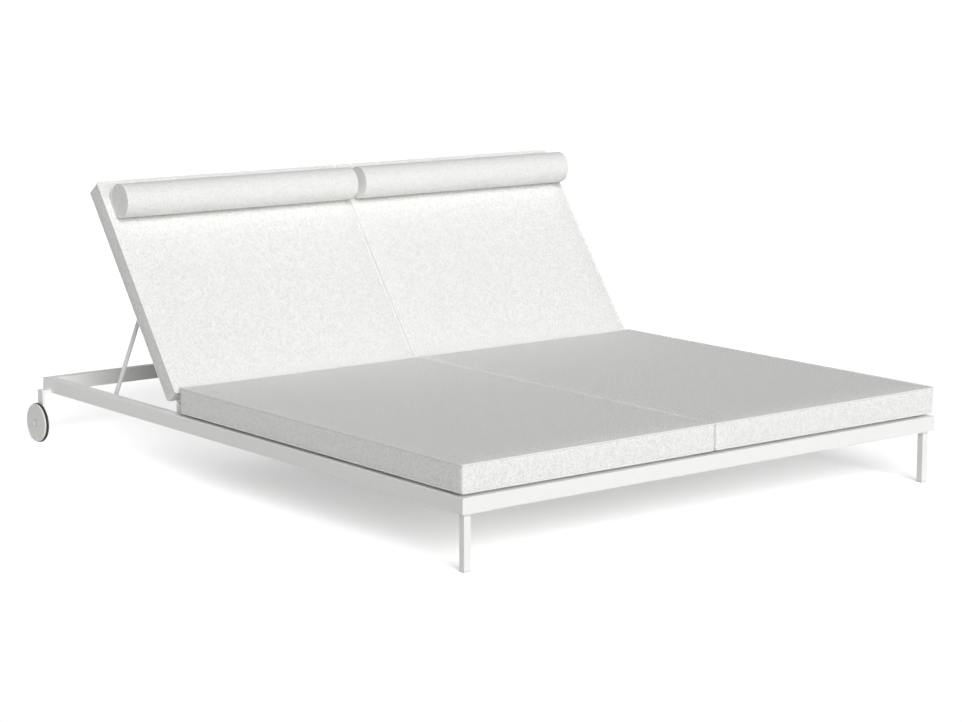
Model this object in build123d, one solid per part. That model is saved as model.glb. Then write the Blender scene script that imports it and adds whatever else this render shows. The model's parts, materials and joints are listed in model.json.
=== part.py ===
from build123d import *
import math
import os

# Double chaise lounger: a low tubular frame on two front legs and two wheels,
# two seat cushions, and two backrests that are raised on notched racks.
# Millimetres. X runs across, Y from the foot end to the head end, Z up.
# Left is the side at minus X, seen from the foot end.
# Until the last step Y is measured from the outer face of the foot rail.

# Frame of rectangular tube
frame_width = 1600.0
frame_length = 2000.0
rail_width = 30.0
rail_height = 40.0
rail_wall = 2.0
rail_corner = 2.0
rail_underside = 142.0

# Front legs with their corner plates and glides
leg_size = 20.0
leg_wall = 2.0
leg_corner = 1.5
leg_inset_x = 12.0
leg_inset_y = 10.0
plate_thickness = 12.0
plate_along_foot = 85.0
plate_along_side = 56.0
glide_thickness = 6.0
glide_plug = 14.0
glide_fit = 0.2

# Deck ledges and slats
ledge_size = 20.0
ledge_thickness = 3.0
slat_count = 6
slat_width = 70.0
slat_thickness = 20.0
slat_wall = 1.5
slat_rise = 8.0
slat_end_gap = 1.0
slat_foot_gap = 10.0
slat_hinge_gap = 3.0

# Seat cushions
seat_inset = 1.0
seat_rail_gap = 11.0
seat_thickness = 70.0
cushion_parting = 1.0
cushion_corner = 8.0
cushion_side_draw = 2.5
seat_crown = 5.0
cushion_edge = 5.0
crown_reach = 220.0

# Backrest hinge and recline
hinge_behind_rail = 11.0
hinge_above_rail = 15.5
recline_angle = 53.6
lug_thickness = 5.0
lug_radius = 10.0
lug_drop = 32.0
lug_rail_gap = 1.0
hinge_side_gap = 1.0
hinge_pin_radius = 4.0
hinge_head_radius = 7.0
hinge_head_thickness = 4.0
hinge_head_gap = 0.5
pin_clearance = 0.05

# Backrest frames, cushions and bolsters
back_tube_width = 25.0
back_tube_depth = 18.0
back_tube_wall = 1.5
back_frame_overhang = 6.0
back_rail_start = 12.0
back_slat_count = 4
back_slat_width = 60.0
back_slat_depth = 10.0
back_cushion_start = 12.0
back_cushion_length = 667.0
back_cushion_thickness = 53.0
back_cushion_overhang = 5.0
back_head_margin = 22.0
back_crown = 4.0
bolster_radius = 48.0
bolster_end_margin = 15.0
bolster_from_top = 92.0
bolster_stand_off = 45.2
bolster_gap = 0.3
bolster_end_draw = 4.0
bolster_end_reach = 8.0

# Prop bail, its ears and its racks
ear_drop = 19.2
ear_thickness = 5.0
ear_radius = 10.0
prop_radius = 6.0
prop_arm_gap = 1.0
foot_pin_radius = 5.0
foot_pin_height = 168.0
foot_pin_gap = 0.4
foot_head_gap = 30.0
rack_thickness = 5.0
rack_underside = 148.0
rack_height = 21.0
rack_margin = 20.0
notch_gap = 0.5
recline_steps = (62.0, recline_angle, 45.0, 35.0, 25.0, 0.0)

# Wheels, brackets and axles
wheel_radius = 57.0
wheel_width = 16.0
wheel_from_head_end = 33.5
flange_outer_radius = 55.0
flange_outer_thickness = 4.5
flange_inner_radius = 53.0
flange_inner_thickness = 3.5
flange_edge = 1.2
core_radius = 46.0
tyre_fit = 0.15
tyre_edge = 2.0
bracket_width = 29.0
bracket_thickness = 9.0
bracket_stand_off = 20.0
bracket_arm_height = 9.5
bracket_arm_lift = 0.5
wheel_side_gap = 1.0
axle_radius = 4.0
axle_head_radius = 7.0
axle_head_thickness = 5.0
axle_head_gap = 0.3
axle_head_sink = 1.2
axle_recess_radius = 9.5
axle_end = 2.0
socket_across = 5.0
socket_depth = 3.0
bush_radius = 7.0
bush_flange_radius = 10.0
bush_side_gap = 0.3
nut_across = 13.0
nut_thickness = 6.5

# Cuts run past the solid by this much
overrun = 5.0

# Profile of a cushion from its underside up to its seam: share of the
# thickness, share of the edge rounding by which the sides are drawn in there
side_profile_shares = ((0, 1), (0.04, 0.35), (0.16, 0), (0.5, 0), (0.84, 0), (0.96, 0.35), (1, 1))
# From the seam up to the crown: share of the crown, share of its reach
crown_profile_shares = ((0.62, 0.3), (1, 1))
# Ends of a bolster: share of the reach from its end, share of the draw in radius
bolster_profile_shares = ((0, 1), (0.25, 0.4), (1, 0))

# Places worked out from the sizes
side_face = -frame_width / 2
bay_outer = side_face + rail_width
bay_inner = -rail_width / 2
bay_middle = (bay_outer + bay_inner) / 2
rail_top = rail_underside + rail_height
rail_middle = rail_underside + rail_height / 2
hinge_y = frame_length - back_head_margin - back_cushion_length - back_cushion_start
hinge_z = rail_top + hinge_above_rail
hinge_rail_back = hinge_y - hinge_behind_rail
hinge_rail_front = hinge_rail_back - rail_width
seat_length = hinge_rail_front - seat_rail_gap - seat_inset
back_frame_length = back_cushion_start + back_cushion_length + back_frame_overhang
bolster_length = frame_width / 2 - 2 * bolster_end_margin
bolster_along = back_cushion_length - bolster_from_top
deck_top = rail_top + slat_rise
ledge_top = deck_top - slat_thickness
lug_face = bay_outer + lug_rail_gap
back_face = lug_face + lug_thickness + hinge_side_gap
back_inner_face = 2 * bay_middle - back_face
prop_arm_x = back_face + ear_thickness + prop_arm_gap + prop_radius
rack_inner_face = bay_outer + rack_thickness
flat_foot_y = frame_length - rail_width - foot_head_gap
ear_along = (flat_foot_y - hinge_y) / 2
prop_length = math.hypot(flat_foot_y - hinge_y - ear_along, hinge_z - ear_drop - foot_pin_height)
wheel_y = frame_length - wheel_from_head_end
overall_length = wheel_y + wheel_radius
bracket_inner_face = side_face - bracket_stand_off
bracket_outer_face = bracket_inner_face - bracket_thickness
hub_inner_face = bracket_outer_face - wheel_side_gap
hub_outer_face = hub_inner_face - wheel_width
tyre_outer_face = hub_outer_face + flange_outer_thickness
tyre_inner_face = hub_inner_face - flange_inner_thickness
axle_head_face = hub_outer_face + axle_head_sink
axle_head_seat = axle_head_face + axle_head_thickness
recess_floor = axle_head_seat + axle_head_gap


def block(x_span, y_span, z_span):
    """A box between two places on each axis."""
    spans = (x_span, y_span, z_span)
    sizes = [high - low for low, high in spans]
    middles = [(high + low) / 2 for low, high in spans]
    return Pos(*middles) * Box(*sizes)


def rod(x_span, y, z, radius):
    """A round bar along X."""
    start, end = x_span
    return Pos((start + end) / 2, y, z) * Rot(0, 90, 0) * Cylinder(radius, end - start)


def tube_section(width, height, wall, corner):
    outer = RectangleRounded(width, height, corner)
    return outer - Rectangle(width - 2 * wall, height - 2 * wall)


def tube_along_y(x, z, y_span, section):
    start, end = y_span
    return extrude(Plane((x, start, z), x_dir=(1, 0, 0), z_dir=(0, 1, 0)) * section, end - start)


def tube_along_x(y, z, x_span, section):
    start, end = x_span
    return extrude(Plane((start, y, z), x_dir=(0, 1, 0), z_dir=(1, 0, 0)) * section, end - start)


def prism(points, z_span):
    """An upright solid on an outline given in X and Y."""
    start, end = z_span
    return extrude(Pos(0, 0, start) * Polygon(*points, align=None), end - start, dir=(0, 0, 1))


def across_lounger(shape):
    return mirror(shape, about=Plane.YZ)


def across_bay(shape):
    return mirror(shape, about=Plane.YZ.offset(bay_middle))


def on_backrest(shape):
    """Carry a shape from a backrest laid flat at the origin to its hinge, raised."""
    return Pos(0, hinge_y, hinge_z) * Rot(recline_angle, 0, 0) * shape


def rail_tube():
    return tube_section(rail_width, rail_height, rail_wall, rail_corner)


def leg_plate():
    """L-shaped plate let into the underside of the frame's corner."""
    x = side_face
    points = (
        (x, 0),
        (x + plate_along_foot, 0),
        (x + plate_along_foot, rail_width),
        (x + rail_width, rail_width),
        (x + rail_width, plate_along_side),
        (x, plate_along_side),
    )
    return prism(points, (rail_underside, rail_underside + plate_thickness))


def side_rail():
    rail = tube_along_y(side_face + rail_width / 2, rail_middle, (0, frame_length), rail_tube())
    mitred = (
        (side_face, 0),
        (bay_outer, rail_width),
        (bay_outer, frame_length - rail_width),
        (side_face, frame_length),
    )
    return (rail & prism(mitred, (rail_underside, rail_top))) - leg_plate()


def end_rail(y_outer, y_inner):
    """Foot or head rail, from mitre to mitre."""
    y = (y_outer + y_inner) / 2
    rail = tube_along_x(y, rail_middle, (side_face, -side_face), rail_tube())
    mitred = ((side_face, y_outer), (-side_face, y_outer), (-bay_outer, y_inner), (bay_outer, y_inner))
    return rail & prism(mitred, (rail_underside, rail_top))


def foot_rail():
    plate = leg_plate()
    return end_rail(0, rail_width) - plate - across_lounger(plate)


def head_rail():
    return end_rail(frame_length, frame_length - rail_width)


def centre_rail():
    return tube_along_y(0, rail_middle, (rail_width, frame_length - rail_width), rail_tube())


def hinge_rail():
    y = (hinge_rail_front + hinge_rail_back) / 2
    return tube_along_x(y, rail_middle, (bay_outer, bay_inner), rail_tube())


def front_leg():
    """Square tube welded under its corner plate."""
    section = tube_section(leg_size, leg_size, leg_wall, leg_corner)
    x = side_face + leg_inset_x + leg_size / 2
    y = leg_inset_y + leg_size / 2
    leg = extrude(Pos(x, y, glide_thickness) * section, rail_underside - glide_thickness)
    return leg_plate() + leg


def leg_glide():
    """Pad under the leg with a plug that goes up into the tube."""
    x = side_face + leg_inset_x + leg_size / 2
    y = leg_inset_y + leg_size / 2
    plug_size = leg_size - 2 * leg_wall - 2 * glide_fit
    pad = extrude(Pos(x, y, 0) * RectangleRounded(leg_size, leg_size, leg_corner), glide_thickness)
    plug = extrude(Pos(x, y, glide_thickness) * Rectangle(plug_size, plug_size), glide_plug)
    return pad + plug


def slat_ledge():
    """Angle on the inner face of a rail, which the slats rest on."""
    y_span = (rail_width, hinge_rail_front)
    upright = block((bay_outer, bay_outer + ledge_thickness), y_span, (ledge_top - ledge_size, ledge_top))
    shelf = block((bay_outer, bay_outer + ledge_size), y_span, (ledge_top - ledge_thickness, ledge_top))
    return upright + shelf


def seat_slat(number):
    first = rail_width + slat_foot_gap + slat_width / 2
    last = hinge_rail_front - slat_hinge_gap - slat_width / 2
    y = first + (last - first) * number / (slat_count - 1)
    x_span = (bay_outer + slat_end_gap, bay_inner - slat_end_gap)
    section = tube_section(slat_width, slat_thickness, slat_wall, slat_wall)
    return tube_along_x(y, deck_top - slat_thickness / 2, x_span, section)


def cushion_outline(width, length, inset, z):
    """Plan of a cushion: four slightly hollow sides joined by round corners."""
    x = width / 2 - inset
    y = length / 2 - inset
    r = cushion_corner
    d = cushion_side_draw
    k = r * (1 - math.sqrt(0.5))
    line = [
        ThreePointArc((-x + r, -y), (0, -y + d), (x - r, -y)),
        ThreePointArc((x - r, -y), (x - k, -y + k), (x, -y + r)),
        ThreePointArc((x, -y + r), (x - d, 0), (x, y - r)),
        ThreePointArc((x, y - r), (x - k, y - k), (x - r, y)),
        ThreePointArc((x - r, y), (0, y - d), (-x + r, y)),
        ThreePointArc((-x + r, y), (-x + k, y - k), (-x, y - r)),
        ThreePointArc((-x, y - r), (-x + d, 0), (-x, -y + r)),
        ThreePointArc((-x, -y + r), (-x + k, -y + k), (-x + r, -y)),
    ]
    return Pos(0, 0, z) * make_face(line)


def cushion(width, length, thickness, crown):
    """Box cushion on z = 0: sides drawn in at both seams and a crowned top."""
    outlines = []
    for height_share, draw_share in side_profile_shares:
        inset = draw_share * cushion_edge
        outlines.append(cushion_outline(width, length, inset, height_share * thickness))
    for height_share, reach_share in crown_profile_shares:
        inset = cushion_edge + reach_share * crown_reach
        outlines.append(cushion_outline(width, length, inset, thickness + height_share * crown))
    return loft(outlines, ruled=True)


def seat_cushion():
    width = -side_face - seat_inset - cushion_parting / 2
    x = -(width + cushion_parting) / 2
    y = seat_inset + seat_length / 2
    return Pos(x, y, deck_top) * cushion(width, seat_length, seat_thickness, seat_crown)


def hinge_lug():
    """Upright plate on the head side of the hinge rail, bored for the pin."""
    x_span = (lug_face, lug_face + lug_thickness)
    foot = block(x_span, (hinge_rail_back, hinge_y + lug_radius), (rail_top - lug_drop, hinge_z))
    lug = foot + rod(x_span, hinge_y, hinge_z, lug_radius)
    return lug - rod(x_span, hinge_y, hinge_z, hinge_pin_radius + pin_clearance)


def hinge_pin():
    """Shouldered pin from the lug through both walls of the back frame's tube."""
    head_start = back_face + back_tube_width + hinge_head_gap
    shank = rod((lug_face, head_start), hinge_y, hinge_z, hinge_pin_radius)
    head = rod((head_start, head_start + hinge_head_thickness), hinge_y, hinge_z, hinge_head_radius)
    return shank + head


def back_cross_places():
    """Start and width of each cross member of a back frame, and its depth below the front face."""
    places = [(back_rail_start, back_tube_width, back_tube_depth)]
    first_gap_start = back_rail_start + back_tube_width
    room = back_frame_length - back_tube_width - first_gap_start
    gap = (room - back_slat_count * back_slat_width) / (back_slat_count + 1)
    for number in range(back_slat_count):
        start = first_gap_start + gap + number * (back_slat_width + gap)
        places.append((start, back_slat_width, back_slat_depth))
    places.append((back_frame_length - back_tube_width, back_tube_width, back_tube_depth))
    return places


def back_frame():
    """Welded frame of a backrest, laid flat: two side tubes, two end tubes and the slats."""
    half = back_tube_depth / 2
    wall = back_tube_wall
    outer_tube = (back_face, back_face + back_tube_width)
    inner_tube = (back_inner_face - back_tube_width, back_inner_face)
    frame = None
    hollow = None
    for low, high in (outer_tube, inner_tube):
        bar = block((low, high), (0, back_frame_length), (-half, half)) + rod((low, high), 0, 0, half)
        room = block((low + wall, high - wall), (0, back_frame_length - wall), (wall - half, half - wall))
        room += rod((low + wall, high - wall), 0, 0, half - wall)
        frame = bar if frame is None else frame + bar
        hollow = room if hollow is None else hollow + room
    for start, width, depth in back_cross_places():
        frame += block((outer_tube[1], inner_tube[0]), (start, start + width), (half - depth, half))
        hollow += block(
            (outer_tube[1] - wall, inner_tube[0] + wall),
            (start + wall, start + width - wall),
            (half - depth + wall, half - wall),
        )
    bore = rod((back_face - overrun, back_inner_face + overrun), 0, 0, hinge_pin_radius + pin_clearance)
    return on_backrest(frame - hollow - bore)


def back_cushion():
    width = -side_face + back_cushion_overhang - cushion_parting / 2
    x = -(width + cushion_parting) / 2
    y = back_cushion_start + back_cushion_length / 2
    shape = cushion(width, back_cushion_length, back_cushion_thickness, back_crown)
    return on_backrest(Pos(x, y, back_tube_depth / 2) * shape)


def crown_rise(inset, crown):
    """Height of a cushion's face over its seam, at a distance in from its side."""
    low, start = cushion_edge, 0
    for height_share, reach_share in crown_profile_shares:
        high, end = cushion_edge + reach_share * crown_reach, height_share * crown
        if inset <= high:
            return start + (end - start) * (inset - low) / (high - low)
        low, start = high, end
    return crown


def bolster_section(x, radius):
    """Round section with a flat where it lies on the cushion's front."""
    y = back_cushion_start + bolster_along
    z = back_tube_depth / 2 + back_cushion_thickness + bolster_stand_off
    reach = math.sqrt(bolster_radius ** 2 - bolster_stand_off ** 2)
    rise = crown_rise(back_cushion_length - bolster_along + reach, back_crown)
    flat = bolster_stand_off - rise - bolster_gap
    start = math.acos(flat / radius)
    step = (math.pi - start) / 3

    def point(turns):
        angle = start + turns * step
        return (x, y + radius * math.sin(angle), z - radius * math.cos(angle))

    line = [ThreePointArc(point(2 * n), point(2 * n + 1), point(2 * n + 2)) for n in range(3)]
    line.append(Line(point(6), point(0)))
    return make_face(line)


def bolster():
    """Round cushion along the top of a backrest, with its ends drawn in."""
    middle = side_face / 2
    ends = []
    for reach_share, draw_share in bolster_profile_shares:
        reach = bolster_length / 2 - reach_share * bolster_end_reach
        ends.append((reach, bolster_radius - draw_share * bolster_end_draw))
    sections = [bolster_section(middle - reach, radius) for reach, radius in ends]
    sections += [bolster_section(middle + reach, radius) for reach, radius in reversed(ends)]
    return on_backrest(loft(sections, ruled=True))


def prop_ear():
    """Plate under a side tube of the back frame, bored for the prop's shaft."""
    x_span = (back_face, back_face + ear_thickness)
    half = back_tube_depth / 2
    plate = block(x_span, (ear_along - ear_radius, ear_along + ear_radius), (-ear_drop, -half))
    ear = plate + rod(x_span, ear_along, -ear_drop, ear_radius)
    return on_backrest(ear - rod(x_span, ear_along, -ear_drop, prop_radius + pin_clearance))


def prop_pivot(angle):
    """Y and Z of the prop's shaft when the backrest stands at an angle."""
    turn = math.radians(angle)
    y = hinge_y + ear_along * math.cos(turn) + ear_drop * math.sin(turn)
    z = hinge_z + ear_along * math.sin(turn) - ear_drop * math.cos(turn)
    return y, z


def prop_foot(angle):
    """Y of the prop's foot pins on the racks when the backrest stands at an angle."""
    y, z = prop_pivot(angle)
    return y + math.sqrt(prop_length ** 2 - (z - foot_pin_height) ** 2)


def prop_bail():
    """Cross shaft with two arms welded to it and a pin at the foot of each arm."""
    top_y, top_z = prop_pivot(recline_angle)
    foot_y = prop_foot(recline_angle)
    shaft = rod((back_face, back_inner_face), top_y, top_z, prop_radius)
    slope = math.degrees(math.atan2(foot_y - top_y, foot_pin_height - top_z))
    arm = Cylinder(prop_radius, prop_length, align=(Align.CENTER, Align.CENTER, Align.MIN))
    arm = Pos(prop_arm_x, top_y, top_z) * Rot(-slope, 0, 0) * arm
    arm += Pos(prop_arm_x, foot_y, foot_pin_height) * Sphere(prop_radius)
    pin_end = rack_inner_face + foot_pin_gap
    arm += rod((pin_end, prop_arm_x), foot_y, foot_pin_height, foot_pin_radius)
    return shaft + arm + across_bay(arm)


def prop_rack():
    """Notched strip on the inner face of a rail."""
    places = [prop_foot(angle) for angle in recline_steps]
    x_span = (bay_outer, rack_inner_face)
    y_span = (min(places) - rack_margin, max(places) + rack_margin)
    rack = block(x_span, y_span, (rack_underside, rack_underside + rack_height))
    for y in places:
        rack -= rod(x_span, y, foot_pin_height, foot_pin_radius + notch_gap)
    return rack


def wheel_bracket():
    """Flat bar that hangs from an arm outside the side rail and carries the axle."""
    y_span = (wheel_y - bracket_width / 2, wheel_y + bracket_width / 2)
    arm_low = rail_underside + bracket_arm_lift
    arm = block((bracket_outer_face, side_face), y_span, (arm_low, arm_low + bracket_arm_height))
    x_span = (bracket_outer_face, bracket_inner_face)
    bar = block(x_span, y_span, (wheel_radius, arm_low + bracket_arm_height))
    bar += rod(x_span, wheel_y, wheel_radius, bracket_width / 2)
    return arm + bar - rod(x_span, wheel_y, wheel_radius, axle_radius + pin_clearance)


def wheel_hub():
    """Hub with a wide outer flange and a narrower inner one, which hold the tyre."""
    outer = rod((hub_outer_face, tyre_outer_face), wheel_y, wheel_radius, flange_outer_radius)
    rim = outer.edges().group_by(Axis.X)[0]
    outer = fillet(rim, flange_edge)
    core = rod((tyre_outer_face, tyre_inner_face), wheel_y, wheel_radius, core_radius)
    inner = rod((tyre_inner_face, hub_inner_face), wheel_y, wheel_radius, flange_inner_radius)
    recess = rod((hub_outer_face - overrun, recess_floor), wheel_y, wheel_radius, axle_recess_radius)
    bore = rod((recess_floor, hub_inner_face), wheel_y, wheel_radius, bush_radius + pin_clearance)
    return outer + core + inner - recess - bore


def tyre():
    x_span = (tyre_outer_face, tyre_inner_face)
    ring = rod(x_span, wheel_y, wheel_radius, wheel_radius)
    ring = fillet(ring.edges().filter_by(GeomType.CIRCLE), tyre_edge)
    return ring - rod(x_span, wheel_y, wheel_radius, core_radius + tyre_fit)


def wheel_bush():
    """Flanged sleeve in the hub, which turns on the axle."""
    sleeve = rod((recess_floor, hub_inner_face), wheel_y, wheel_radius, bush_radius)
    flange_end = bracket_outer_face - bush_side_gap
    flange = rod((hub_inner_face, flange_end), wheel_y, wheel_radius, bush_flange_radius)
    bore = rod((recess_floor, flange_end), wheel_y, wheel_radius, axle_radius + pin_clearance)
    return sleeve + flange - bore


def hexagon_bar(x_span, across):
    start, end = x_span
    section = RegularPolygon(across / 2, 6, major_radius=False)
    plane = Plane((start, wheel_y, wheel_radius), x_dir=(0, 1, 0), z_dir=(1, 0, 0))
    return extrude(plane * section, end - start)


def wheel_axle():
    """Socket screw through the wheel and the bracket."""
    head = rod((axle_head_face, axle_head_seat), wheel_y, wheel_radius, axle_head_radius)
    head -= hexagon_bar((axle_head_face, axle_head_face + socket_depth), socket_across)
    shank_end = bracket_inner_face + nut_thickness + axle_end
    return head + rod((axle_head_seat, shank_end), wheel_y, wheel_radius, axle_radius)


def axle_nut():
    x_span = (bracket_inner_face, bracket_inner_face + nut_thickness)
    return hexagon_bar(x_span, nut_across) - rod(x_span, wheel_y, wheel_radius, axle_radius + pin_clearance)


def all_parts():
    """Name and shape of every piece, the mirrored ones made from the left side's."""
    parts = {
        "foot_rail": foot_rail(),
        "head_rail": head_rail(),
        "centre_rail": centre_rail(),
    }
    pairs = {
        "side_rail": side_rail(),
        "hinge_rail": hinge_rail(),
        "front_leg": front_leg(),
        "leg_glide": leg_glide(),
        "wheel_bracket": wheel_bracket(),
        "wheel_hub": wheel_hub(),
        "tyre": tyre(),
        "wheel_bush": wheel_bush(),
        "wheel_axle": wheel_axle(),
        "seat_cushion": seat_cushion(),
        "back_frame": back_frame(),
        "back_cushion": back_cushion(),
        "bolster": bolster(),
        "prop_bail": prop_bail(),
    }
    for name, make in (("hinge_lugs", hinge_lug), ("hinge_pins", hinge_pin), ("prop_ears", prop_ear)):
        shape = make()
        pairs[name] = Compound([*shape.solids(), *across_bay(shape).solids()])
    for name, shape in pairs.items():
        parts[name + "_left"] = shape
        parts[name + "_right"] = across_lounger(shape)
    for name, shape in (("slat_ledge", slat_ledge()), ("prop_rack", prop_rack())):
        inner = across_bay(shape)
        parts[name + "_left_outer"] = shape
        parts[name + "_left_inner"] = inner
        parts[name + "_right_inner"] = across_lounger(inner)
        parts[name + "_right_outer"] = across_lounger(shape)
    for number in range(slat_count):
        slat = seat_slat(number)
        parts[f"seat_slat_left_{number + 1}"] = slat
        parts[f"seat_slat_right_{number + 1}"] = across_lounger(slat)
    nut = axle_nut()
    parts["axle_nuts"] = Compound([*nut.solids(), *across_lounger(nut).solids()])
    return parts


os.makedirs("parts", exist_ok=True)
for name, shape in all_parts().items():
    solids = (Pos(0, -overall_length / 2, 0) * shape).solids()
    piece = solids[0] if len(solids) == 1 else Compound(list(solids))
    export_step(piece, f"parts/{name}.step")
    print(name, len(solids), round(sum(solid.volume for solid in solids)))
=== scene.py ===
# %% [markdown]
# Double chaise lounger, dressed.
# The CAD model of the lounger is loaded as a fixed frame, and this script dresses it: it gives
# the tubes, wheels and screws their real finishes, and sews the cushions, which the frame only
# holds as plain solids. The script reads nothing else from disk.
# Everything is in metres, X across the lounger, Y from its foot end to its head end, Z up.

# %% Load the frame
import json
import math

import bpy
import bmesh
from mathutils import Matrix, Vector


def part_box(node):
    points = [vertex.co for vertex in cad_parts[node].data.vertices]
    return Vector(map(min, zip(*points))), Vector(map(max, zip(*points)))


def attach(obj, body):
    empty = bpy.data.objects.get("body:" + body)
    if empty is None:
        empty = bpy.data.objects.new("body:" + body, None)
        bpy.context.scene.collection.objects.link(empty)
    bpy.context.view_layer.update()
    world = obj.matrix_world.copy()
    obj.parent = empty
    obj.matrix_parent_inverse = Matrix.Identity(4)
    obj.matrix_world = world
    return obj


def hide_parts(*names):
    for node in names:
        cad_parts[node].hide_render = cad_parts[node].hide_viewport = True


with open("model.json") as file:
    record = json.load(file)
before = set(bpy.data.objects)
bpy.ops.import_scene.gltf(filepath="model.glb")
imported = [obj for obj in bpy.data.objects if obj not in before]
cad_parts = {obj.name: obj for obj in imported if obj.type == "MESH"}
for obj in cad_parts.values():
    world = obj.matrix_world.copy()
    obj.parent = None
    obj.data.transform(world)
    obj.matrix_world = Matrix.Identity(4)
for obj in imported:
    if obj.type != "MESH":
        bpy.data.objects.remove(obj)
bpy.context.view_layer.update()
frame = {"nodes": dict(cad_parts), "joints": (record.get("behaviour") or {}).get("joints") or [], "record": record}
MM = 0.001
SIDES = ("left", "right")
scene = bpy.context.scene

# %% [markdown]
# The camera comes first, because everything else is judged through it. The long lens, the place
# and the two turns were found by fitting the straight edges of the seat, the rails and the
# backrests to the photograph. A camera in Blender looks down, so tilting it by 90 degrees less
# the dip makes it look along the ground, and the turn about Z swings it to the right.

# %% Camera
CAMERA_PLACE = Vector((-4.3107, -5.5649, 1.5076))
CAMERA_TURN = 38.0554
CAMERA_DIP = 9.9017
LENS_MM = 95.67
SENSOR_MM = 36.0
FAR_CLIP = 100.0

camera_data = bpy.data.cameras.new("camera")
camera_data.lens = LENS_MM
camera_data.sensor_width = SENSOR_MM
camera_data.clip_end = FAR_CLIP
camera = bpy.data.objects.new("camera", camera_data)
camera.location = CAMERA_PLACE
camera.rotation_euler = (math.radians(90 - CAMERA_DIP), 0, math.radians(-CAMERA_TURN))
scene.collection.objects.link(camera)
scene.camera = camera
print("camera", tuple(camera.location), "lens", LENS_MM)

# %% [markdown]
# Materials are trees of shader nodes. Two helpers keep them readable: one turns the sRGB hex
# value that a colour is known by into the linear numbers a shader wants, and one adds a node with
# its settings and the links into its sockets. The others do the steps that the materials repeat.
# A mix node has sockets for each kind of value it can mix, and those for colours go by number.

# %% Helpers for materials
COLOUR_A, COLOUR_B, COLOUR_OUT = 6, 7, 2


def linear(hex_colour):
    """Linear RGBA from an sRGB hex value such as EDEDEB."""
    values = [int(hex_colour[i:i + 2], 16) / 255 for i in (0, 2, 4)]
    return [v / 12.92 if v <= 0.04045 else ((v + 0.055) / 1.055) ** 2.4 for v in values] + [1.0]


def node(tree, kind, inputs=None, **settings):
    """Adds a node. Settings are its properties; inputs are values, or sockets to link from."""
    made = tree.nodes.new(kind)
    for name, value in settings.items():
        setattr(made, name, value)
    for name, value in (inputs or {}).items():
        socket = made.inputs[name]
        if isinstance(value, bpy.types.NodeSocket):
            tree.links.new(value, socket)
        else:
            socket.default_value = value
    return made


def new_material(name):
    """An empty material with its output node; returns the material, its tree and the output."""
    material = bpy.data.materials.new(name)
    material.use_nodes = True
    tree = material.node_tree
    tree.nodes.clear()
    return material, tree, node(tree, "ShaderNodeOutputMaterial")


def maths(tree, operation, first, second=0.0):
    made = node(tree, "ShaderNodeMath", {0: first, 1: second}, operation=operation)
    return made.outputs[0]


def coordinates(tree, kind):
    """The point that is shaded, as a vector of one kind, such as Object for its own space."""
    return node(tree, "ShaderNodeTexCoord").outputs[kind]


def separate(tree, vector):
    """The X, Y and Z of a vector."""
    return node(tree, "ShaderNodeSeparateXYZ", {"Vector": vector}).outputs


def unevenness(tree, place, scale, detail, roughness=0.5):
    """A noise around a half, with that many lumps to the metre."""
    inputs = {"Vector": place, "Scale": scale, "Detail": detail, "Roughness": roughness}
    return node(tree, "ShaderNodeTexNoise", inputs).outputs["Fac"]


def between(tree, share, low, high):
    """A number from low to high, by a share from nought to one."""
    inputs = {"Value": share, "To Min": low, "To Max": high}
    return node(tree, "ShaderNodeMapRange", inputs).outputs["Result"]


def chosen(tree, which, first, second):
    """The first number where the share is nought, the second where it is one."""
    inputs = {"Factor": which, "A": first, "B": second}
    return node(tree, "ShaderNodeMix", inputs).outputs["Result"]


def mixed_colour(tree, share, first, second):
    """A colour between two linear colours, by a share from nought to one."""
    inputs = {"Factor": share, COLOUR_A: first, COLOUR_B: second}
    return node(tree, "ShaderNodeMix", inputs, data_type="RGBA").outputs[COLOUR_OUT]


def bumped(tree, height, strength, depth):
    """The direction that a surface faces once a height has roughened it."""
    inputs = {"Height": height, "Strength": strength, "Distance": depth}
    return node(tree, "ShaderNodeBump", inputs).outputs["Normal"]


def finish_with(tree, output, looks):
    """Ends a material's tree with one principled shader."""
    shader = node(tree, "ShaderNodeBsdfPrincipled", looks)
    tree.links.new(shader.outputs["BSDF"], output.inputs["Surface"])


print("white powder coat in linear light:", [round(v, 3) for v in linear("F8F8F6")])

# %% [markdown]
# The tubes are aluminium with a white polyester powder coat. The powder melts in an oven and
# flows into a skin about 0.08 mm thick, which is slightly uneven, like fine orange peel with
# lumps about 1.5 mm across. The eye sees that only as a soft, broken highlight, so it is a bump
# and a small change of roughness. The colour changes only a little, in slow patches about a
# hand's breadth across. The metal never shows, so the coat isn't metallic.

# %% White powder coat
PEEL_MM = 1.5
PEEL_DEPTH = 0.1 * MM
PEEL_STRENGTH = 0.08
PEEL_ROUGHNESS = 0.06
COAT_ROUGHNESS = 0.42
COAT_PATCHES = 9.0


def powder_coat(name, first_colour, second_colour):
    material, tree, output = new_material(name)
    place = coordinates(tree, "Object")
    peel = unevenness(tree, place, 1 / (PEEL_MM * MM), detail=2.0)
    patches = unevenness(tree, place, COAT_PATCHES, detail=3.0)
    smoothest, roughest = COAT_ROUGHNESS - PEEL_ROUGHNESS, COAT_ROUGHNESS + PEEL_ROUGHNESS
    looks = {
        "Base Color": mixed_colour(tree, patches, linear(first_colour), linear(second_colour)),
        "Roughness": between(tree, peel, smoothest, roughest),
        "Normal": bumped(tree, peel, PEEL_STRENGTH, PEEL_DEPTH),
        "IOR": 1.5,
    }
    finish_with(tree, output, looks)
    return material


white_powder_coat = powder_coat("white_powder_coat", "F8F8F6", "F5F5F3")
print("made", white_powder_coat.name)

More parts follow.
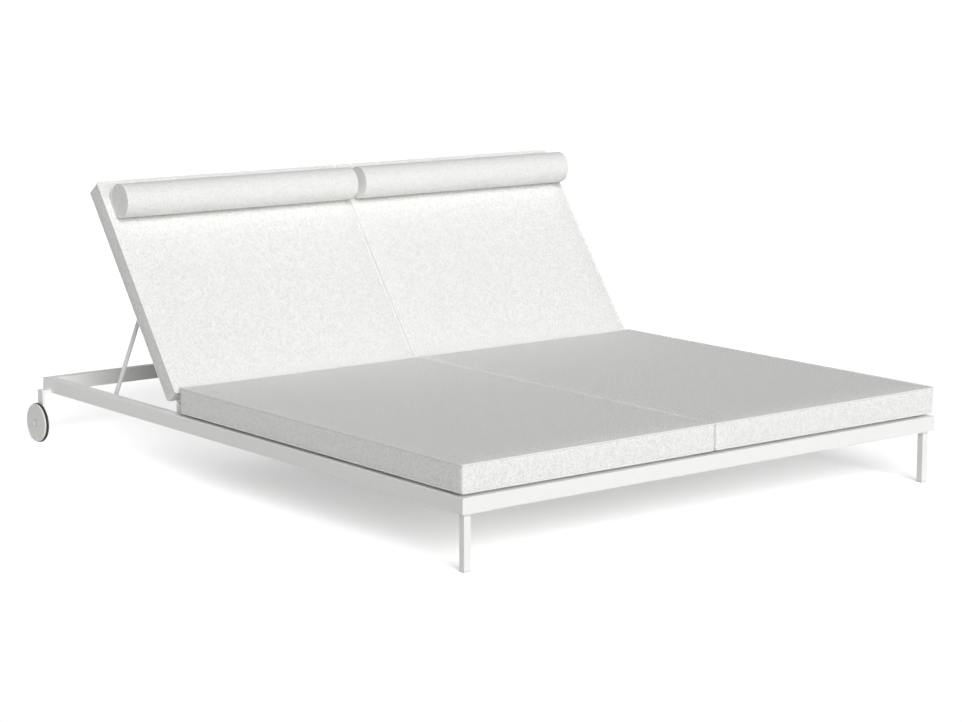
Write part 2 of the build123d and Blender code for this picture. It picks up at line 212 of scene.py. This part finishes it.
# %% [markdown]
# The covers are a chunky white outdoor cloth. Its rows are about 4 mm apart, and the knots in a
# row about 9 mm, set half a step over from the row below, which gives the dots that the
# photograph shows. The yarn itself is matte with a faint fuzz. The product of a sine in each
# direction makes the knots. The height drives a bump, and the gaps between the knots are darker
# because the cloth shades itself there. The photograph's weave is broken up, not even, so one
# slow noise pushes the knots about by a millimetre or so, one about as fine as the knots raises
# and sinks them at random, and a third makes some of them paler than others.
# The pattern is laid out in the piece's own space, in one flat direction per panel, chosen by
# the way that the surface faces, so it needs no unwrapping and turns with the backrest.

# %% White outdoor cloth
TWO_ROWS_MM = 8.0
KNOT_MM = 9.0
EVEN_SHARE = 0.5
LUMP_MM = 5.0
UNEVEN_SHARE = 2.3
NOISE_MIDDLE = 0.5
WANDER_MM = 6.0
WANDER_SCALE = 45.0
FIBRE_MM = 0.8
FIBRE_SHARE = 0.5
DARKEST_HEIGHT = -0.8
PALEST_HEIGHT = 0.9
MOTTLE_SCALE = 55.0
MOTTLE_SHARE = 0.2
CLOTH_BUMP = 0.6
CLOTH_DEPTH = 0.9 * MM
FLAT_ON = 0.7
BOLSTER_RADIUS = 48 * MM


def cloth_point(tree):
    """A point in its piece's own space, its X, Y and Z, and how far it faces each of them."""
    place = coordinates(tree, "Object")
    facing = separate(tree, coordinates(tree, "Normal"))
    return place, separate(tree, place), [maths(tree, "ABSOLUTE", part) for part in facing]


def panel_directions(tree):
    """Two distances along the cloth at a point of a box-shaped cushion, and the point."""
    place, (x, y, z), (facing_x, facing_y, facing_z) = cloth_point(tree)
    faces_up = maths(tree, "GREATER_THAN", facing_z, FLAT_ON)
    faces_side = maths(tree, "GREATER_THAN", facing_x, facing_y)
    along = chosen(tree, faces_up, chosen(tree, faces_side, x, y), x)
    return along, chosen(tree, faces_up, z, y), place


def roll_directions(tree):
    """The same at a point of a bolster that lies along its own X axis."""
    place, (x, y, z), facing = cloth_point(tree)
    is_end = maths(tree, "GREATER_THAN", facing[0], FLAT_ON)
    around = maths(tree, "MULTIPLY", maths(tree, "ARCTAN2", z, y), BOLSTER_RADIUS)
    return chosen(tree, is_end, x, y), chosen(tree, is_end, around, z), place


def wave(tree, distance, step):
    """A sine that repeats after a step."""
    return maths(tree, "SINE", maths(tree, "MULTIPLY", distance, 2 * math.pi / step))


def outdoor_cloth(name, directions, colour, dark_colour):
    material, tree, output = new_material(name)
    along, across, place = directions(tree)
    drift = unevenness(tree, place, WANDER_SCALE, detail=1.0)
    wander = maths(tree, "MULTIPLY", drift, WANDER_MM * MM)
    row = wave(tree, maths(tree, "ADD", across, wander), TWO_ROWS_MM * MM)
    knot = wave(tree, maths(tree, "SUBTRACT", along, wander), KNOT_MM * MM)
    even = maths(tree, "MULTIPLY", maths(tree, "MULTIPLY", row, knot), EVEN_SHARE)
    lumps = unevenness(tree, place, 1 / (LUMP_MM * MM), detail=1.0)
    uneven = maths(tree, "MULTIPLY", maths(tree, "SUBTRACT", lumps, NOISE_MIDDLE), UNEVEN_SHARE)
    fibre = unevenness(tree, place, 1 / (FIBRE_MM * MM), detail=3.0)
    fuzz = maths(tree, "MULTIPLY", fibre, FIBRE_SHARE)
    height = maths(tree, "ADD", maths(tree, "ADD", even, uneven), fuzz)
    heights = {"Value": height, "From Min": DARKEST_HEIGHT, "From Max": PALEST_HEIGHT}
    paleness = node(tree, "ShaderNodeMapRange", heights).outputs["Result"]
    batch = unevenness(tree, place, MOTTLE_SCALE, detail=3.0, roughness=0.6)
    paler = maths(tree, "ADD", paleness, maths(tree, "MULTIPLY", batch, MOTTLE_SHARE))
    looks = {
        "Base Color": mixed_colour(tree, paler, linear(dark_colour), linear(colour)),
        "Roughness": 0.86,
        "Normal": bumped(tree, height, CLOTH_BUMP, CLOTH_DEPTH),
        "IOR": 1.45,
        "Sheen Weight": 0.15,
        "Sheen Roughness": 0.6,
    }
    finish_with(tree, output, looks)
    return material


box_cloth = outdoor_cloth("white_outdoor_cloth", panel_directions, "FEFEFC", "D4D4D2")
roll_cloth = outdoor_cloth("white_outdoor_cloth_roll", roll_directions, "FEFEFC", "D4D4D2")
welt_cloth = outdoor_cloth("white_welt_cloth", panel_directions, "FAFAF8", "EAEAE8")
print("made", box_cloth.name, roll_cloth.name, welt_cloth.name)

# %% [markdown]
# The small parts: hubs and leg glides are moulded white nylon, which is a little waxy and has a
# fine grain from the mould; the tyres are solid black rubber with a faint dusty bloom; screws,
# pins and nuts are plain stainless steel, turned, so the scratches run round them; and the bush
# in the hub is a grey bearing plastic.

# %% Nylon, rubber, stainless steel and bearing plastic
GRAIN_STRENGTH = 0.15
GRAIN_DEPTH = 0.1 * MM
BLOOM_PATCHES = 40.0
BLOOM_ROUGHNESS = 0.05
SCRATCH_SCALES = (3000.0, 120.0, 120.0)
SCRATCH_STRENGTH = 0.1
SCRATCH_DEPTH = 0.05 * MM
STEEL_SMOOTHEST = 0.25
STEEL_ROUGHEST = 0.45


def moulded(name, light, dark, roughness, grain_mm, ior):
    """Moulded plastic or rubber: a fine grain in the surface and slow, faint patches."""
    material, tree, output = new_material(name)
    place = coordinates(tree, "Object")
    grain = unevenness(tree, place, 1 / (grain_mm * MM), detail=2.0)
    bloom = unevenness(tree, place, BLOOM_PATCHES, detail=3.0)
    smoothest, roughest = roughness - BLOOM_ROUGHNESS, roughness + BLOOM_ROUGHNESS
    looks = {
        "Base Color": mixed_colour(tree, bloom, linear(dark), linear(light)),
        "Roughness": between(tree, bloom, smoothest, roughest),
        "Normal": bumped(tree, grain, GRAIN_STRENGTH, GRAIN_DEPTH),
        "IOR": ior,
    }
    finish_with(tree, output, looks)
    return material


def turned_steel(name):
    """Steel with fine scratches round X, the axis that pins and screws lie along."""
    material, tree, output = new_material(name)
    stretch = {"Vector": coordinates(tree, "Object"), "Scale": SCRATCH_SCALES}
    stretched = node(tree, "ShaderNodeMapping", stretch).outputs["Vector"]
    scratches = unevenness(tree, stretched, 1.0, detail=2.0)
    looks = {
        "Base Color": linear("B4B4B6"),
        "Metallic": 1.0,
        "Roughness": between(tree, scratches, STEEL_SMOOTHEST, STEEL_ROUGHEST),
        "Normal": bumped(tree, scratches, SCRATCH_STRENGTH, SCRATCH_DEPTH),
    }
    finish_with(tree, output, looks)
    return material


white_nylon = moulded("white_nylon", "EEEEEB", "E4E4E0", 0.5, 0.8, 1.53)
black_rubber = moulded("black_rubber", "2C2C2B", "181818", 0.8, 0.6, 1.52)
bearing_plastic = moulded("grey_bearing_plastic", "8C8C8C", "7C7C7C", 0.55, 0.8, 1.5)
stainless_steel = turned_steel("turned_stainless_steel")
print("made", white_nylon.name, black_rubber.name, bearing_plastic.name, stainless_steel.name)

# %% [markdown]
# The CAD solids of the frame, legs, slats, racks, props, brackets and wheels already have the
# right shape, so they stay, and only their finish changes. Real tubes and plates have slightly
# broken edges, which catch a thin line of light. A bevel modifier gives the solids such edges
# without touching their meshes.

# %% Finish the rigid pieces
EDGE_BREAK = 0.6 * MM
EDGE_SEGMENTS = 2
SHARP_ANGLE = math.radians(50)
FINISH_OF_SLOT = {
    "white_powder_coat": white_powder_coat,
    "white_nylon": white_nylon,
    "black_rubber": black_rubber,
    "stainless_steel": stainless_steel,
    "grey_bush": bearing_plastic,
    "outdoor_fabric": box_cloth,
}
slot_of_node = {part["node"]: part["material_slot"] for part in frame["record"]["subparts"]}
for name, piece in frame["nodes"].items():
    for material_slot in piece.material_slots:
        material_slot.material = FINISH_OF_SLOT[slot_of_node[name]]
    if slot_of_node[name] != "outdoor_fabric":
        broken = piece.modifiers.new("broken_edges", "BEVEL")
        broken.width = EDGE_BREAK
        broken.segments = EDGE_SEGMENTS
        broken.limit_method = "ANGLE"
        broken.angle_limit = SHARP_ANGLE
print("finished", len(slot_of_node), "nodes")

# %% [markdown]
# Each cushion is foam in a sewn cover: a top and a bottom panel, and a strip of cloth all round
# between them. The cover is pulled tight over the foam, so the panels stand a little proud in
# the middle and are held down along the seams. The way here is to sew a closed mesh of small
# squares in the cushion's own space, hold it along its seams, blow it up with Blender's cloth
# simulation, and keep only a few millimetres of what it does. A formula could make the crown,
# but the simulation also gives the uneven pull towards the corners.

# %% Sew a box cushion


def quarter_sink(radius):
    """How far in the middle of a quarter round lies from the two faces that it joins."""
    return radius * (1 - math.sqrt(0.5))


def grid_places(length, spacing, edge):
    """Places of the grid lines across a panel, closer together at both seams."""
    inner = length - 4 * edge
    count = max(2, round(inner / spacing))
    middle = [2 * edge + inner * i / count for i in range(count + 1)]
    return [0.0, edge] + middle + [length - edge, length]


def finished_mesh(name, mesh):
    """Smooth mesh data, with its faces turned outwards, from a mesh in the making."""
    bmesh.ops.recalc_face_normals(mesh, faces=mesh.faces)
    data = bpy.data.meshes.new(name)
    mesh.to_mesh(data)
    mesh.free()
    for face in data.polygons:
        face.use_smooth = True
    return data


def box_cushion_mesh(name, size, spacing, corner, edge):
    """A closed box of squares with round upright corners. Its seams are the rings of points
    round its bottom and its top."""
    lines = [grid_places(length, spacing, edge) for length in size]
    last = [len(places) - 1 for places in lines]
    core = [size[axis] / 2 - corner for axis in range(2)]
    sunk = quarter_sink(edge)
    mesh = bmesh.new()
    made = {}

    def vertex(index):
        if index in made:
            return made[index]
        x, y, z = (lines[axis][index[axis]] - size[axis] / 2 for axis in range(3))
        core_x = max(-core[0], min(core[0], x))
        core_y = max(-core[1], min(core[1], y))
        out = Vector((x - core_x, y - core_y))
        reach = max(abs(out.x), abs(out.y))
        if out.length > 0:
            out = out.normalized() * reach
        on_side = index[0] in (0, last[0]) or index[1] in (0, last[1])
        on_face = index[2] in (0, last[2])
        if on_side and on_face:
            out = out.normalized() * (reach - sunk) if out.length > 0 else out
            z -= math.copysign(sunk, z)
            if abs(x) > core[0] and abs(y) <= core[1]:
                out = Vector((math.copysign(corner - sunk, x), 0))
            elif abs(y) > core[1] and abs(x) <= core[0]:
                out = Vector((0, math.copysign(corner - sunk, y)))
        made[index] = mesh.verts.new((core_x + out.x, core_y + out.y, z + size[2] / 2))
        return made[index]

    for axis in range(3):
        first, second = [a for a in range(3) if a != axis]
        for end in (0, last[axis]):
            for i in range(last[first]):
                for j in range(last[second]):
                    corners = []
                    for di, dj in ((0, 0), (1, 0), (1, 1), (0, 1)):
                        index = [0, 0, 0]
                        index[axis] = end
                        index[first] = i + di
                        index[second] = j + dj
                        corners.append(vertex(tuple(index)))
                    mesh.faces.new(corners)
    mesh.verts.index_update()
    ring = [(i, 0) for i in range(last[0])] + [(last[0], j) for j in range(last[1])]
    ring += [(i, last[1]) for i in range(last[0], 0, -1)]
    ring += [(0, j) for j in range(last[1], 0, -1)]
    levels = {"bottom": 0, "top": last[2]}
    seams = {level: [made[(i, j, k)].index for i, j in ring] for level, k in levels.items()}
    return finished_mesh(name, mesh), seams


TEST_SIZE = (0.8, 0.6, 0.07)
test_mesh, test_seams = box_cushion_mesh("test", TEST_SIZE, spacing=0.02, corner=0.008, edge=0.005)
print("a cushion of", TEST_SIZE, "m has", len(test_mesh.vertices), "points,",
      len(test_seams["top"]), "of them on its top seam")
bpy.data.meshes.remove(test_mesh)

# %% [markdown]
# The simulation is Blender's cloth with air pressure inside and no gravity. The points on the
# seams are pinned, because the welt cord in a real seam keeps it straight. The cloth is then
# allowed only a few millimetres: each point keeps its direction, and its travel is bent over
# smoothly towards the cap of its panel, which is how far foam lets a cover rise. The top panel
# may rise by the crown that the CAD cushion has, and the strip round the sides by far less.

# %% Blow up the covers
SIM_FRAMES = 20
CLOTH_SETTINGS = {
    "quality": 6,
    "mass": 0.3,
    "tension_stiffness": 25,
    "compression_stiffness": 25,
    "bending_stiffness": 2.0,
    "use_pressure": True,
    "uniform_pressure_force": 4.0,
}


def inflate(piece, pinned, caps):
    """Runs the cloth simulation on a piece and keeps each point's travel up to its cap."""
    start = [v.co.copy() for v in piece.data.vertices]
    group = piece.vertex_groups.new(name="seams")
    group.add(pinned, 1.0, "REPLACE")
    cloth = piece.modifiers.new("cloth", "CLOTH")
    for name, value in CLOTH_SETTINGS.items():
        setattr(cloth.settings, name, value)
    cloth.settings.effector_weights.gravity = 0.0
    cloth.settings.vertex_group_mass = group.name
    cloth.point_cache.frame_start = 1
    cloth.point_cache.frame_end = SIM_FRAMES
    for frame_number in range(1, SIM_FRAMES + 1):
        scene.frame_set(frame_number)
    blown = piece.evaluated_get(bpy.context.evaluated_depsgraph_get())
    ends = [v.co.copy() for v in blown.data.vertices]
    piece.modifiers.remove(cloth)
    piece.vertex_groups.remove(group)
    scene.frame_set(1)
    furthest = 0.0
    for vertex, before, after, cap in zip(piece.data.vertices, start, ends, caps):
        travel = after - before
        distance = travel.length
        furthest = max(furthest, distance)
        if distance > 0:
            vertex.co = before + travel * (cap * math.tanh(distance / cap) / distance)
    return furthest


print("the covers get", SIM_FRAMES, "frames of simulation")

# %% [markdown]
# A seam on these covers has a thin welt: a cord wrapped in the same cloth and sewn in between
# two panels. It follows the points of the seam after the simulation, so it lies exactly where
# the panels meet. It is a round tube swept along that closed ring, and it stands a little proud
# of both panels, where it catches the light and shows in the photograph as a bright line. The
# cover is made smaller by what the welt stands proud, so that the whole fits the CAD cushion.

# %% Welts
WELT_RADIUS = 3.0 * MM
BOTTOM_WELT_RADIUS = 1.4 * MM
WELT_SIDES = 10
CUSHION_CORNER = 6 * MM
CUSHION_EDGE = 5 * MM
WELT_PROUD = WELT_RADIUS - quarter_sink(CUSHION_EDGE)
ALMOST_UPRIGHT = 0.1


def join_rings(mesh, this, following):
    """A band of squares between two rings of points."""
    count = len(this)
    for s in range(count):
        t = (s + 1) % count
        mesh.faces.new((this[s], this[t], following[t], following[s]))


def ring_tube(name, points, radius):
    """A closed round tube along a ring of points, as a mesh."""
    mesh = bmesh.new()
    count = len(points)
    angles = [2 * math.pi * s / WELT_SIDES for s in range(WELT_SIDES)]
    rings = []
    for i, point in enumerate(points):
        along = (points[(i + 1) % count] - points[i - 1]).normalized()
        side = along.cross(Vector((0, 0, 1)))
        if side.length < ALMOST_UPRIGHT:
            side = along.cross(Vector((1, 0, 0)))
        side.normalize()
        up = side.cross(along).normalized()
        outwards = [math.cos(angle) * side + math.sin(angle) * up for angle in angles]
        rings.append([mesh.verts.new(point + radius * out) for out in outwards])
    for i in range(count):
        join_rings(mesh, rings[i], rings[(i + 1) % count])
    return finished_mesh(name, mesh)


print("welts are", 2 * WELT_RADIUS / MM, "mm thick")

# %% [markdown]
# A finished cushion is the blown-up cover with one level of subdivision, its welts, and its
# place: a matrix that carries the cushion's own space to where it lies. The seat cushions lie
# flat on the slats.

# %% Seat cushions
CUSHION_SPACING = 14 * MM
ON_PANEL = 0.5 * MM
SEAT_CROWN = 5.0 * MM
SIDE_SWELL = 0.8 * MM


def add_piece(name, data, material, place):
    """A new object from a mesh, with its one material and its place."""
    piece = bpy.data.objects.new(name, data)
    piece.matrix_world = place
    scene.collection.objects.link(piece)
    data.materials.clear()
    data.materials.append(material)
    return piece


def subdivide(piece):
    subdivided = piece.modifiers.new("smooth", "SUBSURF")
    subdivided.levels = 1
    subdivided.render_levels = 1


def sew_cushion(name, box_size, place, body, replaced, crown):
    """A box cushion with its cover and two welts. The crown comes on top of its box."""
    spacing = CUSHION_SPACING
    width, length, thickness = box_size
    size = (width - 2 * WELT_PROUD, length - 2 * WELT_PROUD, thickness)
    data, seams = box_cushion_mesh(name, size, spacing, CUSHION_CORNER, CUSHION_EDGE)
    cover = add_piece(name, data, box_cloth, place)
    bottom = [v.index for v in data.vertices if v.co.z < ON_PANEL]
    pinned = sorted(set(seams["top"] + seams["bottom"] + bottom))
    top = thickness - ON_PANEL
    caps = [crown if v.co.z > top else SIDE_SWELL for v in data.vertices]
    travel = inflate(cover, pinned, caps)
    print(name, "wanted to rise", round(travel / MM, 1), "mm")
    subdivide(cover)
    welts = []
    for level, ring in seams.items():
        radius = WELT_RADIUS if level == "top" else BOTTOM_WELT_RADIUS
        welt_name = f"{name}_{level}_welt"
        points = [data.vertices[i].co.copy() for i in ring]
        welt_data = ring_tube(welt_name, points, radius)
        welts.append(add_piece(welt_name, welt_data, welt_cloth, place))
    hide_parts(replaced)
    for piece in [cover] + welts:
        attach(piece, body)
    return cover


for side in SIDES:
    low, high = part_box(f"seat_cushion_{side}")
    size = (high.x - low.x, high.y - low.y, high.z - low.z - SEAT_CROWN)
    place = Matrix.Translation(((low.x + high.x) / 2, (low.y + high.y) / 2, low.z))
    sew_cushion(f"seat_cover_{side}", size, place, "frame", f"seat_cushion_{side}", SEAT_CROWN)
print("seat covers sewn")

# %% [markdown]
# The back cushions and the bolsters are made flat in the same way, and then turned up about the
# hinge by the angle at which the backrest stands in the photograph. A box round a tilted piece
# says nothing of its thickness, so their sizes along and out from the backrest are given here.

# %% Back cushions
RECLINE = math.radians(53.6)
BACK_TUBE_DEPTH = 18 * MM
BACK_CUSHION_START = 12 * MM
BACK_CUSHION_LENGTH = 667 * MM
BACK_CUSHION_THICKNESS = 53 * MM
BACK_CUSHION_MIDDLE = BACK_CUSHION_START + BACK_CUSHION_LENGTH / 2
BACK_CROWN = 4.0 * MM
hinge = {joint["name"]: Vector(joint["pos_m"]) for joint in frame["joints"]}


def on_backrest(side, middle_x, along, height):
    """Carries a flat piece to the backrest: so far along it from the hinge, and out from it."""
    pivot = hinge[f"recline_{side}"]
    turned = Matrix.Translation((middle_x, pivot.y, pivot.z)) @ Matrix.Rotation(RECLINE, 4, "X")
    return turned @ Matrix.Translation((0, along, height))


for side in SIDES:
    low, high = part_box(f"back_cushion_{side}")
    size = (high.x - low.x, BACK_CUSHION_LENGTH, BACK_CUSHION_THICKNESS)
    middle = (low.x + high.x) / 2
    place = on_backrest(side, middle, BACK_CUSHION_MIDDLE, BACK_TUBE_DEPTH / 2)
    name, replaced = f"back_cover_{side}", f"back_cushion_{side}"
    sew_cushion(name, size, place, f"back_{side}", replaced, BACK_CROWN)
print("back covers sewn")

# %% [markdown]
# A bolster is a round of foam in a tube of cloth with a disc sewn into each end. It is firm, so
# its ends stay flat and its edge crisp. It is flattened a little where it lies on the back
# cushion. The mesh is rings of points along its axis, closed by smaller rings at each end.

# %% Bolsters
BOLSTER_SIDES = 64
BOLSTER_SPACING = 12 * MM
BOLSTER_FLAT = 42 * MM
BOLSTER_ALONG = 587 * MM
BOLSTER_OUT = 107.2 * MM
BOLSTER_EDGE = 4 * MM
BOLSTER_SWELL = 1.0 * MM
END_WELT_RADIUS = 1.5 * MM
DISC_SHARES = (0.92, 0.75, 0.5, 0.25)
ON_FLAT = 0.2 * MM


def bolster_mesh(name, length, radius, spacing, edge):
    """A closed roll along X, flat underneath. Its seams are the rings round its two ends."""
    half = length / 2
    straight = length - 2 * edge
    count = round(straight / spacing)
    sunk = quarter_sink(edge)
    profile = [(-half, share * (radius - edge)) for share in reversed(DISC_SHARES)]
    profile += [(-half, radius - edge), (-half + sunk, radius - sunk)]
    profile += [(-half + edge + straight * i / count, radius) for i in range(count + 1)]
    profile += [(half - sunk, radius - sunk), (half, radius - edge)]
    profile += [(half, share * (radius - edge)) for share in DISC_SHARES]
    angles = [2 * math.pi * s / BOLSTER_SIDES for s in range(BOLSTER_SIDES)]
    mesh = bmesh.new()
    rings = []
    for x, r in profile:
        around = [(r * math.cos(angle), r * math.sin(angle)) for angle in angles]
        rings.append([mesh.verts.new((x, y, max(z, -BOLSTER_FLAT))) for y, z in around])
    for this, following in zip(rings, rings[1:]):
        join_rings(mesh, this, following)
    for ring, x in ((rings[0], -half), (rings[-1], half)):
        centre = mesh.verts.new((x, 0, 0))
        for s in range(BOLSTER_SIDES):
            mesh.faces.new((ring[s], ring[(s + 1) % BOLSTER_SIDES], centre))
    mesh.verts.index_update()
    inside_discs = len(DISC_SHARES) + 1
    seams = [[v.index for v in ring] for ring in (rings[inside_discs], rings[-inside_discs - 1])]
    return finished_mesh(name, mesh), seams


for side in SIDES:
    low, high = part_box(f"bolster_{side}")
    name = f"bolster_cover_{side}"
    spacing = BOLSTER_SPACING
    radius = BOLSTER_RADIUS - BOLSTER_SWELL
    data, seams = bolster_mesh(name, high.x - low.x, radius, spacing, BOLSTER_EDGE)
    place = on_backrest(side, (low.x + high.x) / 2, BOLSTER_ALONG, BOLSTER_OUT)
    cover = add_piece(name, data, roll_cloth, place)
    flat = [v.index for v in data.vertices if v.co.z < -BOLSTER_FLAT + ON_FLAT]
    pinned = sorted(set(seams[0] + seams[1] + flat))
    inflate(cover, pinned, [BOLSTER_SWELL] * len(data.vertices))
    for end, ring in zip(("outer", "inner"), seams):
        welt_name = f"{name}_{end}_welt"
        points = [data.vertices[i].co.copy() for i in ring]
        welt_data = ring_tube(welt_name, points, END_WELT_RADIUS)
        welt = add_piece(welt_name, welt_data, welt_cloth, place)
        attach(welt, f"back_{side}")
    subdivide(cover)
    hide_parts(f"bolster_{side}")
    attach(cover, f"back_{side}")
print("bolsters sewn")

# %% [markdown]
# The studio is a pale floor and a white surround. The photograph's floor is burnt out to white
# with a soft grey shadow under the lounger. Here the floor is plain and pale for the light that
# it sends on, and only where it is looked at it answers the lamps a third more strongly than
# white would and glows a little, so that the open floor is white and the shadow keeps its depth.
# The photograph's shadow lies under the seat and is nearly gone at the head end, so the glow
# grows from the seat's head edge to the head rail, and a little from left to right.

# %% Floor
FLOOR_HALF = 30.0
FLOOR_ANSWER = 1.315
FLOOR_GLOW = 0.35
HEAD_GLOW = 0.27
RIGHT_GLOW = 0.05
SEAT_HEAD_EDGE = 0.1
HEAD_RAIL = 0.85
LOUNGER_HALF = 0.8


def looked_at(tree):
    """One for what the camera sees, also in a mirror or through glass, else nought."""
    paths = node(tree, "ShaderNodeLightPath").outputs
    mirrored = maths(tree, "MAXIMUM", paths["Is Glossy Ray"], paths["Is Transmission Ray"])
    return maths(tree, "MAXIMUM", paths["Is Camera Ray"], mirrored)


def growing(tree, distance, start, end, most, shape):
    """A number that grows from nought to most as a distance goes from start to end."""
    inputs = {"Value": distance, "From Min": start, "From Max": end, "To Max": most}
    made = node(tree, "ShaderNodeMapRange", inputs, interpolation_type=shape)
    return made.outputs["Result"]


floor_data = bpy.data.meshes.new("floor")
square = ((-1, -1), (1, -1), (1, 1), (-1, 1))
corners = [(x * FLOOR_HALF, y * FLOOR_HALF, 0) for x, y in square]
floor_data.from_pydata(corners, [], [(0, 1, 2, 3)])
floor = bpy.data.objects.new("floor", floor_data)
scene.collection.objects.link(floor)
pale_floor, tree, output = new_material("pale_floor")
seen = looked_at(tree)
answer = mixed_colour(tree, seen, linear("E4E4E4"), [FLOOR_ANSWER] * 3 + [1.0])
plain = node(tree, "ShaderNodeBsdfDiffuse", {"Color": answer})
spot = separate(tree, coordinates(tree, "Object"))
to_head = growing(tree, spot["Y"], SEAT_HEAD_EDGE, HEAD_RAIL, HEAD_GLOW, "SMOOTHSTEP")
to_right = growing(tree, spot["X"], -LOUNGER_HALF, LOUNGER_HALF, RIGHT_GLOW, "LINEAR")
glowing = maths(tree, "ADD", maths(tree, "ADD", to_head, to_right), FLOOR_GLOW)
glow = node(tree, "ShaderNodeEmission", {"Strength": maths(tree, "MULTIPLY", seen, glowing)})
both = node(tree, "ShaderNodeAddShader", {0: plain.outputs[0], 1: glow.outputs[0]})
tree.links.new(both.outputs[0], output.inputs["Surface"])
floor_data.materials.append(pale_floor)
print("floor made")

# %% [markdown]
# The surround is white where it is looked at. For the light that it sends on, it is a dim sky
# that is brightest at the horizon and fades towards the top, which keeps the tops of the
# cushions a mid grey. The light on the object itself stays at a plain level.

# %% Surround
HORIZON_LIGHT = 0.366
ZENITH_LIGHT = 0.04
WHITE_TO_LOOK_AT = 1.0

world = bpy.data.worlds.new("white_studio")
scene.world = world
world.use_nodes = True
tree = world.node_tree
tree.nodes.clear()
height = maths(tree, "ABSOLUTE", separate(tree, coordinates(tree, "Generated"))["Z"])
sky = between(tree, height, HORIZON_LIGHT, ZENITH_LIGHT)
strength = chosen(tree, looked_at(tree), sky, WHITE_TO_LOOK_AT)
surround = node(tree, "ShaderNodeBackground", {"Color": linear("FFFFFF"), "Strength": strength})
node(tree, "ShaderNodeOutputWorld", {"Surface": surround.outputs[0]})
print("surround made")

# %% [markdown]
# The photograph's light comes from the foot end, a little from the left and rather low: the faces
# towards the foot are the brightest, and the tops and the left sides are about the same mid grey.
# A sun lamp with a wide disc, 28 degrees above the floor, gives an even, soft light of that kind
# over the whole lounger.

# %% Light
SUN_FROM = Vector((-0.287, -0.835, 0.469))
SUN_STRENGTH = 2.41
SUN_SPREAD = 34.0

sun_data = bpy.data.lights.new("soft_light_from_the_foot", "SUN")
sun_data.energy = SUN_STRENGTH
sun_data.angle = math.radians(SUN_SPREAD)
sun = bpy.data.objects.new("soft_light_from_the_foot", sun_data)
sun.rotation_euler = SUN_FROM.to_track_quat("Z", "Y").to_euler()
scene.collection.objects.link(sun)
print("light from", tuple(SUN_FROM))

# %% Colour management
scene.view_settings.view_transform = "Standard"
